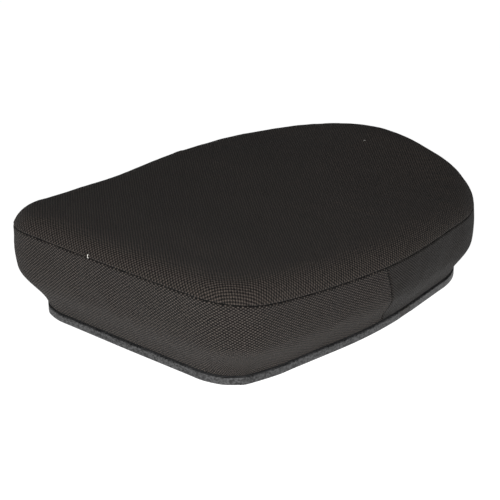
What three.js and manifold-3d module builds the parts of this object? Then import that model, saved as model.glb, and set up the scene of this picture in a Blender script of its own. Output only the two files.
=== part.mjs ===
// An upholstered booster seat: a boxed foam cushion with a sewn cover on a rigid base board.
// Millimetres, +Z up. The origin is under the middle of the object, on the surface it rests on.
// +Y points to the front, the broad rounded end under the thighs; -Y is the narrow straight rear.
import * as THREE from "three";
import Module from "manifold-3d";
import { mergeVertices } from "three/addons/utils/BufferGeometryUtils.js";

const wasm = await Module();
wasm.setup();

// ---- Outlines: half of each, rear middle to front middle, as corners with a rounding radius ----
const SEAM_CORNERS = [
  { x: 0, y: -256, round: 490 },
  { x: 184, y: -253, round: 62 },
  { x: 214, y: 21, round: 540 },
  { x: 189, y: 224, round: 126 },
  { x: 0, y: 263, round: 330 },
];
const RIM_CORNERS = [
  { x: 0, y: -229, round: 490 },
  { x: 157, y: -228, round: 58 },
  { x: 191, y: -11, round: 540 },
  { x: 171, y: 208, round: 95 },
  { x: 0, y: 237, round: 330 },
];
const HALF_LENGTH = 256;
const STATIONS = 72; // places round the outline where a cross-section is taken

// ---- Heights ----
const SEAM_MID = 92; // height of the perimeter seam halfway along the sides
const SEAM_BOW = 26; // how much higher the seam is at both ends
const SEAM_TILT = 4.5; // extra rise from the middle to the front
const FRONT_DIP = { x: 156, y: 190, depth: 16, spread: 90 }; // seam drawn down at the front corners
const CROWN = 24; // rise of the top panel above the seam
const SHOULDER = 12; // distance over which most of that rise happens
const FOOT_HEIGHT = 3;
const BOARD_BOTTOM = 3.3;
const BOARD_TOP = 10.3;
const COVER_FOOT = 10.6; // lower edge of the cover

// ---- Layers and clearances ----
const GAP = 0.3; // between faces that touch on the real object
const LAYER_GAP = 0.8; // between curved layers
const CORE_GAP = 1.6; // between the foam core's sides and the bands
const CLOTH = 3; // cover fabric with its laminated foam backing
const TOPPER = 12;
const SEAM_GAP = 2.2; // slit between two cover pieces, filled by the stitched seam
const THREAD = 0.8; // radius of a stitched seam line
const TUCK = 0.8; // how far the cover's lower edge sits behind the edge profile
const HEM_CORD = 1.8; // radius
const PROFILE_WALL = 2.5;
const PROFILE_LIP = 14;
const PROFILE_BOTTOM = 1.5;
const PROFILE_TOP = 10.1;
const PROFILE_EDGE = 0.6; // chamfer
const JOINER_SETBACK = 0.4; // the joiner's face behind the profile's

// ---- Where things are round the outline, as a fraction of the way from the rear middle ----
const BAND_JOINT = 0.247;
const JOINER_START = 0.278;
const JOINER_END = 0.292;
const PROFILE_SCREW_PLACES = [0.06, 0.16, 0.24, 0.38]; // on the right; the left side mirrors them

// ---- Fixings ----
const FIXINGS = [
  { name: "rear_right", x: 105, y: -150 },
  { name: "rear_left", x: -105, y: -150 },
  { name: "front_right", x: 115, y: 140 },
  { name: "front_left", x: -115, y: 140 },
];
const SCREW_RADIUS = 3;
const SCREW_END = 12.8; // height of the tip of a foot screw
const SCREW_HEAD = { radius: 5.6, bottom: 0.3, socketRadius: 2.2, socketTop: 0.9 };
const INSERT_BARREL = 4.2; // radius
const INSERT_FLANGE = 10; // radius
const INSERT_FLANGE_DEPTH = 1.5;
const POCKET_TOP = 13.5; // of the relief in the foam over each insert
const FOOT_RADIUS = 13;
const FOOT_FLARE = 1.5; // how much wider a foot is against the board
const FOOT_RECESS = { radius: 6.3, top: 1.7 }; // where the screw's head sits
const SMALL_SCREW_RADIUS = 1.6;
const SMALL_SCREW_HEAD = { radius: 3.4, bottom: 0.3 };
const SMALL_SCREW_INSET = 8.5; // from the face of the edge profile

const colours = {
  topCloth: { color: 0x2a2927, roughness: 0.95 },
  bandCloth: { color: 0x3b3835, roughness: 0.92 },
  thread: { color: 0x141312, roughness: 0.9 },
  foam: { color: 0xd8cfa8, roughness: 1 },
  topper: { color: 0xe6e0cc, roughness: 1 },
  greyPlastic: { color: 0x55565a, roughness: 0.5 },
  blackPlastic: { color: 0x1b1b1c, roughness: 0.6 },
  rubber: { color: 0x161616, roughness: 0.85 },
  steel: { color: 0xb8babd, roughness: 0.35, metalness: 1 },
};

// ---- Outline helpers ----
function fullOutline(half) {
  const mirrored = half.slice(1, -1).reverse().map((c) => ({ ...c, x: -c.x }));
  return [...half, ...mirrored];
}

// A closed path through straight runs and fillets, starting in the middle of the rear fillet.
function roundedPath(half) {
  const corners = fullOutline(half);
  const fillets = corners.map((corner, i) => {
    const here = new THREE.Vector2(corner.x, corner.y);
    const before = corners[(i + corners.length - 1) % corners.length];
    const after = corners[(i + 1) % corners.length];
    const back = new THREE.Vector2(before.x, before.y).sub(here).normalize();
    const ahead = new THREE.Vector2(after.x, after.y).sub(here).normalize();
    const halfAngle = Math.acos(back.dot(ahead)) / 2;
    const tangent = corner.round / Math.tan(halfAngle);
    const middle = back.clone().add(ahead).normalize();
    const centre = here.clone().addScaledVector(middle, corner.round / Math.sin(halfAngle));
    const start = here.clone().addScaledVector(back, tangent).sub(centre).angle();
    const end = here.clone().addScaledVector(ahead, tangent).sub(centre).angle();
    return { centre, radius: corner.round, start, end };
  });
  const path = new THREE.Path();
  const first = fillets[0];
  const sweep = (f) => (f.end - f.start + 2 * Math.PI) % (2 * Math.PI);
  const middleAngle = first.start + sweep(first) / 2;
  const arc = (f, from, to) => path.absarc(f.centre.x, f.centre.y, f.radius, from, to, false);
  arc(first, middleAngle, first.end);
  for (const f of fillets.slice(1)) arc(f, f.start, f.end);
  arc(first, first.start, middleAngle);
  return path;
}

const seamPath = roundedPath(SEAM_CORNERS);
const rimLine = roundedPath(RIM_CORNERS).getSpacedPoints(720);

function seamHeight(x, y) {
  const along = y / HALF_LENGTH;
  const dip = FRONT_DIP;
  const away = Math.hypot(Math.abs(x) - dip.x, y - dip.y) / dip.spread;
  return SEAM_MID + SEAM_TILT * along + SEAM_BOW * along ** 2 - dip.depth * Math.exp(-(away ** 2));
}

// Distance from a seam point straight inwards to the rim outline.
const DEEPEST_RIM = 80; // beyond this the line has crossed to the far side
function depthToRim(seam, inward) {
  for (let i = 1; i < rimLine.length; i++) {
    const a = rimLine[i - 1].clone().sub(seam);
    const b = rimLine[i].clone().sub(seam);
    const sideA = a.cross(inward);
    const sideB = b.cross(inward);
    if (sideA * sideB > 0) continue;
    const depth = a.lerp(b, sideA / (sideA - sideB)).dot(inward);
    if (depth > 0 && depth < DEEPEST_RIM) return depth;
  }
  throw new Error("no rim inside this seam point");
}

const NUDGE = 0.0005; // of the way round, to measure the outline's direction
function station(fraction) {
  const seam = seamPath.getPoint(fraction);
  const ahead = seamPath.getPoint((fraction + NUDGE) % 1);
  const behind = seamPath.getPoint((fraction + 1 - NUDGE) % 1);
  const tangent = ahead.sub(behind).normalize();
  const inward = new THREE.Vector2(-tangent.y, tangent.x);
  return { seam, inward, rim: depthToRim(seam, inward), height: seamHeight(seam.x, seam.y) };
}

const wholeRing = Array.from({ length: STATIONS }, (_, i) => station(i / STATIONS));

// Stations from one place on the outline to another, through the ring's own stations between.
function stretch(from, to) {
  const apart = 0.003; // the ring's stations nearer to an end than this are left out
  const inside = [];
  for (let i = 0; i < 2 * STATIONS; i++) {
    const fraction = i / STATIONS;
    if (fraction > from + apart && fraction < to - apart) inside.push(fraction % 1);
  }
  return [from % 1, ...inside, to % 1].map(station);
}

function place(s, depth, z) {
  const point = s.seam.clone().addScaledVector(s.inward, depth);
  return new THREE.Vector3(point.x, point.y, z);
}

// ---- Surfaces of the cushion ----
const clamp = THREE.MathUtils.clamp;
const smooth = (from, to, value) => THREE.MathUtils.smoothstep(value, from, to);

// The band hangs upright below the seam, then tucks in under the cushion; v runs from 0 to 1 down it.
const bandTuck = (v) => 0.3 * v ** 1.6 + 0.7 * smooth(0.5, 1, v);
const bandDepth = (s, v) => bandTuck(clamp(v, 0, 1)) * (s.rim + TUCK);
const bandHeight = (s, v) => s.height + (COVER_FOOT - s.height) * v;
const partWayDown = (s, z) => (s.height - z) / (s.height - COVER_FOOT);

// Rings of the crowned top, as shares of the way from the edge to the middle.
const DOME_RINGS = [0, 0.018, 0.045, 0.09, 0.18, 0.38, 0.68];
const centre = new THREE.Vector3(0, 10, 0);

// A point on the crowned top or on a layer below it; share runs from the edge to the middle.
function domePoint(s, share, edge, drop) {
  const start = place(s, edge, 0);
  const point = start.clone().lerp(centre, share);
  const depth = edge + share * start.distanceTo(centre);
  const crown = CROWN * (1 - Math.exp(-depth / SHOULDER));
  point.z = seamHeight(point.x, point.y) + SEAM_GAP + crown - drop;
  return point;
}
const domeRing = (share, edge, drop) => wholeRing.map((s) => domePoint(s, share, edge, drop));

// ---- Mesh helpers ----
function solid(points, faces) {
  const geometry = new THREE.BufferGeometry();
  const position = new Float32Array(points.flatMap((p) => [p.x, p.y, p.z]));
  geometry.setAttribute("position", new THREE.BufferAttribute(position, 3));
  geometry.setIndex(faces.flat());
  geometry.computeVertexNormals();
  return geometry;
}

// Rings joined in order, with a fan closing each end, or joined into a loop when closed is true.
function loft(rings, closed = false) {
  const count = rings[0].length;
  const points = rings.flat();
  const faces = [];
  const joins = closed ? rings.length : rings.length - 1;
  for (let r = 0; r < joins; r++) {
    const next = (r + 1) % rings.length;
    for (let i = 0; i < count; i++) {
      const j = (i + 1) % count;
      const [a, b] = [r * count + i, r * count + j];
      const [c, d] = [next * count + j, next * count + i];
      faces.push([a, b, c], [a, c, d]);
    }
  }
  if (!closed) {
    const last = (rings.length - 1) * count;
    const middle = (ring) => {
      const sum = ring.reduce((total, p) => total.add(p), new THREE.Vector3());
      return sum.divideScalar(ring.length);
    };
    points.push(middle(rings[0]), middle(rings.at(-1)));
    for (let i = 0; i < count; i++) {
      const j = (i + 1) % count;
      faces.push([points.length - 2, j, i], [points.length - 1, last + i, last + j]);
    }
  }
  return solid(points, faces);
}

// A cross-section carried along part of the outline. section(s) gives [depth, z] points that go
// up the outer face, inwards, and down the inner face.
function carried(stations, section) {
  const sections = stations.map((s) => section(s));
  const size = sections[0].length;
  const points = stations.flatMap((s, i) => sections[i].map(([depth, z]) => place(s, depth, z)));
  const faces = [];
  for (let i = 0; i + 1 < stations.length; i++) {
    for (let k = 0; k < size; k++) {
      const [a, b] = [i * size + k, (i + 1) * size + k];
      const [c, d] = [(i + 1) * size + ((k + 1) % size), i * size + ((k + 1) % size)];
      faces.push([a, b, c], [a, c, d]);
    }
  }
  const cap = (index, facingAhead) => {
    const flat = sections[index].map(([depth, z]) => new THREE.Vector2(depth, z));
    for (const [a, b, c] of THREE.ShapeUtils.triangulateShape(flat, [])) {
      const turn = flat[b].clone().sub(flat[a]).cross(flat[c].clone().sub(flat[a]));
      const face = [a, b, c].map((k) => index * size + k);
      faces.push(turn > 0 === facingAhead ? face : face.reverse());
    }
  };
  cap(0, false);
  cap(stations.length - 1, true);
  return solid(points, faces);
}

// A round cord of six sides along the whole outline, at a depth and height given for each station.
function cordRing(radius, depthOf, heightOf) {
  const SIDES = 6;
  const rings = Array.from({ length: SIDES }, (_, k) => {
    const turn = (-2 * Math.PI * k) / SIDES;
    return wholeRing.map((s) => {
      const depth = depthOf(s) + radius * Math.cos(turn);
      return place(s, depth, heightOf(s) + radius * Math.sin(turn));
    });
  });
  return loft(rings, true);
}

// A turned piece on a vertical axis: [radius, z] points, anticlockwise.
function turned(profile, x, y, segments) {
  const points = profile.map(([radius, z]) => new THREE.Vector2(radius, z));
  const onAxis = profile[0][0] === 0 && profile.at(-1)[0] === 0;
  if (!onAxis) points.push(points[0].clone());
  const geometry = new THREE.LatheGeometry(points, segments);
  return geometry.rotateX(Math.PI / 2).translate(x, y, 0);
}

function manifoldOf(geometry) {
  const bare = geometry.clone();
  bare.deleteAttribute("normal");
  bare.deleteAttribute("uv");
  const merged = mergeVertices(bare, 1e-4);
  const vertProperties = merged.attributes.position.array;
  const triVerts = new Uint32Array(merged.index.array);
  return new wasm.Manifold(new wasm.Mesh({ numProp: 3, vertProperties, triVerts }));
}

// A geometry with round upright holes bored through it: [x, y, radius, low, high].
function bored(geometry, holes) {
  let body = manifoldOf(geometry);
  for (const [x, y, radius, low, high] of holes) {
    const drill = new THREE.CylinderGeometry(radius, radius, high - low, 14);
    drill.rotateX(Math.PI / 2).translate(x, y, (low + high) / 2);
    body = body.subtract(manifoldOf(drill));
  }
  const mesh = body.getMesh();
  const result = new THREE.BufferGeometry();
  const position = new Float32Array(mesh.vertProperties);
  result.setAttribute("position", new THREE.BufferAttribute(position, 3));
  result.setIndex(Array.from(mesh.triVerts));
  result.computeVertexNormals();
  return result;
}

const seat = new THREE.Group();
function add(name, geometry, look) {
  const mesh = new THREE.Mesh(geometry, new THREE.MeshStandardMaterial(look));
  mesh.name = name;
  seat.add(mesh);
}

// ---- Cover ----
function topPanel() {
  const outer = DOME_RINGS.map((share) => domeRing(share, 0, 0));
  const inner = DOME_RINGS.map((share) => domeRing(share, CLOTH, CLOTH));
  return loft([...inner.reverse(), ...outer]);
}

const BAND_ROWS = [0, 0.25, 0.45, 0.6, 0.72, 0.84, 1];
function bandSection(s) {
  const up = BAND_ROWS.map((v) => [bandDepth(s, v), bandHeight(s, v)]).reverse();
  const down = BAND_ROWS.map((v) => [bandDepth(s, v) + CLOTH, bandHeight(s, v)]);
  return [...up, ...down];
}
const seamLength = seamPath.getLength();
const halfSlit = SEAM_GAP / 2 / seamLength;
add("top_panel", topPanel(), colours.topCloth);
const endBandRun = stretch(BAND_JOINT + halfSlit, 1 - BAND_JOINT - halfSlit);
const sideBandRun = stretch(1 - BAND_JOINT + halfSlit, 1 + BAND_JOINT - halfSlit);
add("front_band", carried(endBandRun, bandSection), colours.bandCloth);
add("side_band", carried(sideBandRun, bandSection), colours.bandCloth);

const underThread = (s) => s.height + SEAM_GAP / 2;
add("top_seam", cordRing(THREAD, () => THREAD + 0.1, underThread), colours.thread);

function uprightSeam(fraction) {
  const s = station(fraction);
  const rows = [0.02, 0.25, 0.5, 0.7, 0.85, 0.99];
  const line = rows.map((v) => place(s, bandDepth(s, v) + THREAD + 0.1, bandHeight(s, v)));
  const ring = new THREE.Shape().absarc(0, 0, THREAD, 0, 2 * Math.PI);
  const options = { extrudePath: new THREE.CatmullRomCurve3(line), steps: 14, curveSegments: 3 };
  return new THREE.ExtrudeGeometry(ring, { ...options, bevelEnabled: false });
}
add("upright_seam_right", uprightSeam(BAND_JOINT), colours.thread);
add("upright_seam_left", uprightSeam(1 - BAND_JOINT), colours.thread);

const hemDepth = (s) => s.rim + TUCK + CLOTH + GAP + HEM_CORD;
add("hem_cord", cordRing(HEM_CORD, hemDepth, () => COVER_FOOT + HEM_CORD), colours.blackPlastic);

// ---- Padding ----
const topperDrop = CLOTH + LAYER_GAP;
const coreDrop = topperDrop + TOPPER + LAYER_GAP;
const padEdge = CLOTH + LAYER_GAP;

function foamTopper() {
  const upper = DOME_RINGS.map((share) => domeRing(share, padEdge, topperDrop));
  const lower = DOME_RINGS.map((share) => domeRing(share, padEdge, topperDrop + TOPPER));
  return loft([...lower.reverse(), ...upper]);
}
add("foam_topper", foamTopper(), colours.topper);

function foamCore() {
  const hemClear = COVER_FOOT + 2 * HEM_CORD + GAP;
  const hemInset = (s) => hemDepth(s) + HEM_CORD + LAYER_GAP;
  const behindBand = (s, z) => bandDepth(s, partWayDown(s, z)) + CLOTH + CORE_GAP;
  const upright = (z) => wholeRing.map((s) => place(s, hemInset(s), z));
  const belowTop = (share) =>
    wholeRing.map((s) => {
      const top = domePoint(s, 0, padEdge, coreDrop).z;
      const low = hemClear + GAP;
      const z = low + (top - low) * share;
      return place(s, behindBand(s, z), z);
    });
  const top = DOME_RINGS.map((share) => domeRing(share, CLOTH + CORE_GAP, coreDrop));
  const sides = [0, 0.12, 0.26, 0.44, 0.7].map(belowTop);
  const body = loft([upright(COVER_FOOT), upright(hemClear), ...sides, ...top]);
  const pockets = FIXINGS.map(({ x, y }) => [x, y, INSERT_FLANGE + 1, COVER_FOOT - 1, POCKET_TOP]);
  return bored(body, pockets);
}
add("foam_core", foamCore(), colours.foam);

// ---- Base ----
const screwPlaces = [
  ...PROFILE_SCREW_PLACES,
  ...PROFILE_SCREW_PLACES.map((fraction) => 1 - fraction).reverse(),
].map((fraction) => {
  const s = station(fraction);
  return place(s, s.rim + SMALL_SCREW_INSET, 0);
});

function baseBoard() {
  const outline = wholeRing.map((s) => place(s, s.rim + PROFILE_WALL + GAP, 0));
  const shape = new THREE.Shape(outline.map((p) => new THREE.Vector2(p.x, p.y)));
  const hole = (x, y, radius) => {
    shape.holes.push(new THREE.Path().absarc(x, y, radius, 0, 2 * Math.PI));
  };
  for (const { x, y } of FIXINGS) hole(x, y, INSERT_BARREL + GAP);
  for (const { x, y } of screwPlaces) hole(x, y, SMALL_SCREW_RADIUS + GAP);
  const depth = BOARD_TOP - BOARD_BOTTOM;
  const board = new THREE.ExtrudeGeometry(shape, { depth, bevelEnabled: false, curveSegments: 7 });
  return board.translate(0, 0, BOARD_BOTTOM);
}
add("base_board", baseBoard(), colours.blackPlastic);

function profileSection(s, setback = 0) {
  const outer = s.rim + setback;
  const inner = s.rim + PROFILE_WALL;
  const lipTop = BOARD_BOTTOM - GAP;
  return [
    [outer + PROFILE_EDGE, PROFILE_BOTTOM],
    [outer, PROFILE_BOTTOM + PROFILE_EDGE],
    [outer, PROFILE_TOP - PROFILE_EDGE],
    [outer + PROFILE_EDGE, PROFILE_TOP],
    [inner, PROFILE_TOP],
    [inner, lipTop],
    [s.rim + PROFILE_LIP, lipTop],
    [s.rim + PROFILE_LIP, PROFILE_BOTTOM],
  ];
}
const profileSlit = GAP / seamLength;
const lipHoles = screwPlaces.map(({ x, y }) => [x, y, SMALL_SCREW_RADIUS + GAP, 0, BOARD_BOTTOM]);
const nearFront = ([, y]) => y > station(JOINER_END).seam.y;
function edgeProfile(from, to, holes) {
  const run = stretch(from + profileSlit, to - profileSlit);
  return bored(carried(run, (s) => profileSection(s)), holes);
}
const frontProfile = edgeProfile(JOINER_END, 1 - JOINER_END, lipHoles.filter(nearFront));
const sideHoles = lipHoles.filter((hole) => !nearFront(hole));
const sideProfile = edgeProfile(1 - JOINER_START, 1 + JOINER_START, sideHoles);
add("front_edge_profile", frontProfile, colours.greyPlastic);
add("side_edge_profile", sideProfile, colours.greyPlastic);

function profileJoiner(from, to) {
  const places = [from, (from + to) / 2, to].map(station);
  return carried(places, (s) => profileSection(s, JOINER_SETBACK));
}
add("profile_joiner_right", profileJoiner(JOINER_START, JOINER_END), colours.blackPlastic);
add("profile_joiner_left", profileJoiner(1 - JOINER_END, 1 - JOINER_START), colours.blackPlastic);

screwPlaces.forEach(({ x, y }, i) => {
  const head = SMALL_SCREW_HEAD;
  const headTop = PROFILE_BOTTOM - GAP;
  const outline = [[0, head.bottom], [head.radius, head.bottom], [head.radius, headTop]];
  outline.push([SMALL_SCREW_RADIUS, headTop], [SMALL_SCREW_RADIUS, BOARD_TOP - 1.5]);
  outline.push([0, BOARD_TOP - 1]);
  add(`profile_screw_${i + 1}`, turned(outline, x, y, 10), colours.steel);
});

// ---- Feet, inserts and their screws ----
for (const { name, x, y } of FIXINGS) {
  const bore = SCREW_RADIUS + GAP;
  const flangeBottom = BOARD_TOP + GAP;
  const flangeTop = flangeBottom + INSERT_FLANGE_DEPTH;
  const insert = [[bore, BOARD_BOTTOM + 1], [INSERT_BARREL, BOARD_BOTTOM + 1]];
  insert.push([INSERT_BARREL, flangeBottom], [INSERT_FLANGE, flangeBottom]);
  insert.push([INSERT_FLANGE, flangeTop], [bore, flangeTop]);
  add(`insert_${name}`, turned(insert, x, y, 16), colours.steel);

  const recess = FOOT_RECESS;
  const foot = [[recess.radius, 0], [FOOT_RADIUS, 0], [FOOT_RADIUS + FOOT_FLARE, FOOT_HEIGHT]];
  foot.push([bore, FOOT_HEIGHT], [bore, recess.top], [recess.radius, recess.top]);
  add(`foot_${name}`, turned(foot, x, y, 20), colours.rubber);

  const head = SCREW_HEAD;
  const headTop = recess.top - GAP;
  const screw = [[0, head.socketTop], [head.socketRadius, head.socketTop]];
  screw.push([head.socketRadius, head.bottom], [head.radius, head.bottom]);
  screw.push([head.radius, headTop], [SCREW_RADIUS, headTop]);
  screw.push([SCREW_RADIUS, SCREW_END], [0, SCREW_END]);
  add(`foot_screw_${name}`, turned(screw, x, y, 14), colours.steel);
}

export default seat;
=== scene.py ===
"""Looks of the booster seat: sewn cover, stitching, grey edge profile, feet, floor, light and camera."""
import math

import bpy
import numpy as np
from mathutils import Euler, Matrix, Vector


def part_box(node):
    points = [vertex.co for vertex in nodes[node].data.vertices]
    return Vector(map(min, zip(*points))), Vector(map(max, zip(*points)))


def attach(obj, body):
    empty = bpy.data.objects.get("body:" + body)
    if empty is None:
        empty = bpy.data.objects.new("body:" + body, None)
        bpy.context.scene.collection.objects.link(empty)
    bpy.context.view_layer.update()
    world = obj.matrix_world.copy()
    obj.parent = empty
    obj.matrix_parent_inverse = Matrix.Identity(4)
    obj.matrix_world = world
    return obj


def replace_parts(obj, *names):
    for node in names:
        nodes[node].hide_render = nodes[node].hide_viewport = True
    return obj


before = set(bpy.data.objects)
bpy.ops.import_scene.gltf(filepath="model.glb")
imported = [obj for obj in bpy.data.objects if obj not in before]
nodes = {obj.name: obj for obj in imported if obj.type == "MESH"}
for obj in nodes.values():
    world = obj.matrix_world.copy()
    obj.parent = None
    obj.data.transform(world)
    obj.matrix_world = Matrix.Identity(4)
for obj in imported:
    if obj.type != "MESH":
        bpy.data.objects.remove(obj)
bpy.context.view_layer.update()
MM = 0.001

# ------------------------------------------------ camera
CAMERA_AZIMUTH = math.radians(40.9)
CAMERA_ELEVATION = math.radians(23.5)
CAMERA_ROLL = math.radians(-0.4)
CAMERA_DISTANCE = 1.824
CAMERA_TARGET = Vector((-0.016, 0.0, 0.042))
CAMERA_LENS = 108
SENSOR_WIDTH = 36


def direction(azimuth, elevation):
    """Unit vector from the object towards a camera or lamp at these angles, in radians."""
    flat = math.cos(elevation)
    return Vector((math.sin(azimuth) * flat, -math.cos(azimuth) * flat, math.sin(elevation)))


def make_camera():
    data = bpy.data.cameras.new("photo_camera")
    data.lens = CAMERA_LENS
    data.sensor_width = SENSOR_WIDTH
    data.clip_start, data.clip_end = 0.1, 50
    camera = bpy.data.objects.new("photo_camera", data)
    bpy.context.scene.collection.objects.link(camera)
    back = direction(CAMERA_AZIMUTH, CAMERA_ELEVATION)
    camera.location = CAMERA_TARGET + back * CAMERA_DISTANCE
    turn = (-back).to_track_quat("-Z", "Y")
    camera.rotation_mode = "QUATERNION"
    camera.rotation_quaternion = turn @ Euler((0, 0, CAMERA_ROLL)).to_quaternion()
    bpy.context.scene.camera = camera


make_camera()


# ------------------------------------------------ material helpers
class Recipe:
    """A material's node tree, built by calls that return output sockets."""

    def __init__(self, name):
        self.material = bpy.data.materials.new(name)
        self.material.use_nodes = True
        self.tree = self.material.node_tree
        self.shader = self.tree.nodes["Principled BSDF"]

    def node(self, kind, **settings):
        made = self.tree.nodes.new(kind)
        for key, value in settings.items():
            setattr(made, key, value)
        return made

    def feed(self, socket, value):
        if isinstance(value, bpy.types.NodeSocket):
            self.tree.links.new(value, socket)
        else:
            socket.default_value = value

    def math(self, operation, a, b=0.0):
        made = self.node("ShaderNodeMath", operation=operation)
        for socket, value in zip(made.inputs, (a, b)):
            self.feed(socket, value)
        return made.outputs[0]

    def vector_math(self, operation, a, b):
        made = self.node("ShaderNodeVectorMath", operation=operation)
        self.feed(made.inputs[0], a)
        self.feed(made.inputs[1], b)
        return made.outputs[0]

    def attribute(self, name):
        return self.node("ShaderNodeAttribute", attribute_name=name).outputs["Vector"]

    def position(self):
        return self.node("ShaderNodeTexCoord").outputs["Object"]

    def split(self, vector):
        made = self.node("ShaderNodeSeparateXYZ")
        self.feed(made.inputs[0], vector)
        return made.outputs

    def noise(self, place, scale, detail=2.0, roughness=0.5):
        made = self.node("ShaderNodeTexNoise")
        self.feed(made.inputs["Vector"], place)
        made.inputs["Scale"].default_value = scale
        made.inputs["Detail"].default_value = detail
        made.inputs["Roughness"].default_value = roughness
        return made.outputs["Fac"]

    def ranged(self, value, low, high, to_low, to_high):
        made = self.node("ShaderNodeMapRange")
        for socket, number in zip(made.inputs, (value, low, high, to_low, to_high)):
            self.feed(socket, number)
        return made.outputs[0]

    def blend(self, factor, first, second):
        made = self.node("ShaderNodeMix", data_type="RGBA")
        self.feed(made.inputs["Factor"], factor)
        self.feed(made.inputs[6], (*first, 1) if isinstance(first, tuple) else first)
        self.feed(made.inputs[7], (*second, 1) if isinstance(second, tuple) else second)
        return made.outputs[2]

    def bump(self, height, distance):
        made = self.node("ShaderNodeBump")
        made.inputs["Distance"].default_value = distance
        made.inputs["Strength"].default_value = 1.0
        self.feed(made.inputs["Height"], height)
        return made.outputs[0]

    def strayed(self, place, scale, reach):
        """A small random sideways shift, up to half of reach each way, that varies from place to place."""
        wander = self.node("ShaderNodeTexNoise")
        self.feed(wander.inputs["Vector"], place)
        wander.inputs["Scale"].default_value = scale
        wander.inputs["Detail"].default_value = 1.0
        centred = self.vector_math("SUBTRACT", wander.outputs["Color"], (0.5, 0.5, 0.5))
        return self.vector_math("MULTIPLY", centred, (reach, reach, 0))

    def finish(self, color, roughness, normal=None, **fixed):
        self.feed(self.shader.inputs["Base Color"], (*color, 1) if isinstance(color, tuple) else color)
        self.feed(self.shader.inputs["Roughness"], roughness)
        if normal is not None:
            self.feed(self.shader.inputs["Normal"], normal)
        for name, value in fixed.items():
            self.shader.inputs[name.replace("_", " ")].default_value = value
        return self.material


CLOTH_STRAY = 1.2 * MM  # how far the weave wanders over a few centimetres
YARN_STRAY = 0.6 * MM  # and from nub to nub


def woven_cloth(name, dark, light, across, down, height, turned=0.0, crisp=1.8):
    """Cloth of staggered nubs. across and down are the repeats in metres, height the nubs' height,
    turned how far the weave lies off the cut edge, in radians, crisp how narrow the nubs look."""
    r = Recipe(name)
    cloth = r.attribute("cloth")
    slow_stray = r.strayed(cloth, 45, CLOTH_STRAY)
    fast_stray = r.strayed(cloth, 330, YARN_STRAY)
    placed = r.vector_math("ADD", cloth, r.vector_math("ADD", slow_stray, fast_stray))
    u, v, _ = r.split(placed)
    u, v = (
        r.math("SUBTRACT", u, r.math("MULTIPLY", v, turned)),
        r.math("ADD", v, r.math("MULTIPLY", u, turned)),
    )
    wave_u = r.math("COSINE", r.math("MULTIPLY", u, 2 * math.pi / across))
    wave_v = r.math("COSINE", r.math("MULTIPLY", v, 2 * math.pi / down))
    lattice = r.ranged(r.math("MULTIPLY", wave_u, wave_v), -1, 1, 0, 1)
    nub = r.math("POWER", lattice, crisp)
    fibre = r.noise(cloth, 2600, 3.0, 0.7)
    yarn = r.noise(cloth, 420, 2.0, 0.6)
    rise = r.math("ADD", r.math("MULTIPLY", nub, 0.8), r.math("MULTIPLY", fibre, 0.2))
    worn = r.noise(cloth, 14, 3.0, 0.55)
    # Colour follows the nub lattice: the gaps between nubs take the dark colour, painted shade of the hollows
    # between the yarns, and the nub tops take the light one; the yarn noise adds random tone.
    lit = r.math("ADD", r.ranged(nub, 0.08, 0.85, 0, 1), r.ranged(yarn, 0.3, 0.7, -0.2, 0.2))
    shade = r.blend(lit, dark, light)
    patch = r.blend(r.ranged(worn, 0.3, 0.7, 0, 1), (0.9, 0.9, 0.9), (1.08, 1.08, 1.08))
    mottled = r.node("ShaderNodeMix", data_type="RGBA", blend_type="MULTIPLY")
    mottled.inputs["Factor"].default_value = 1
    r.feed(mottled.inputs[6], shade)
    r.feed(mottled.inputs[7], patch)
    return r.finish(
        mottled.outputs[2], r.ranged(fibre, 0.2, 0.8, 0.82, 0.98), r.bump(rise, height),
        Sheen_Weight=0.03, Sheen_Roughness=0.5, Specular_IOR_Level=0.2,
    )


def plastic(name, dark, light, grain, grain_height, roughness):
    """Moulded or extruded plastic with a leathery grain of the given size and faint streaks."""
    r = Recipe(name)
    place = r.position()
    cells = r.noise(place, 1 / grain, 2.0, 0.6)
    streak = r.noise(r.vector_math("MULTIPLY", place, (1, 1, 12)), 60, 3.0)
    blotch = r.noise(place, 25, 3.0)
    mix = r.math("ADD", r.ranged(cells, 0.39, 0.61, -0.1, 0.8), r.ranged(streak, 0.35, 0.68, -0.1, 0.4))
    rough = r.ranged(blotch, 0.3, 0.7, roughness - 0.07, roughness + 0.1)
    return r.finish(r.blend(mix, dark, light), rough, r.bump(cells, grain_height), Specular_IOR_Level=0.4)


def foam(name, dark, light, cell):
    """Open-cell foam: rounded pores over a slowly yellowing colour."""
    r = Recipe(name)
    place = r.position()
    pores = r.node("ShaderNodeTexVoronoi", feature="F1")
    r.feed(pores.inputs["Vector"], place)
    pores.inputs["Scale"].default_value = 1 / cell
    depth = r.ranged(pores.outputs["Distance"], 0, 0.7, 0, 1)
    color = r.blend(r.ranged(r.noise(place, 9, 3.0), 0.3, 0.7, 0, 1), dark, light)
    return r.finish(color, 0.95, r.bump(depth, cell * 0.5), Specular_IOR_Level=0.15)


def zinc(name):
    r = Recipe(name)
    place = r.position()
    spangle = r.noise(place, 700, 4.0, 0.65)
    color = r.blend(r.ranged(spangle, 0.3, 0.7, 0, 1), (0.48, 0.48, 0.46), (0.68, 0.67, 0.62))
    return r.finish(color, r.ranged(spangle, 0.3, 0.7, 0.28, 0.45), r.bump(spangle, 0.05 * MM), Metallic=1.0)


PLY = 0.6 * MM  # one turn of a thread's ply


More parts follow.
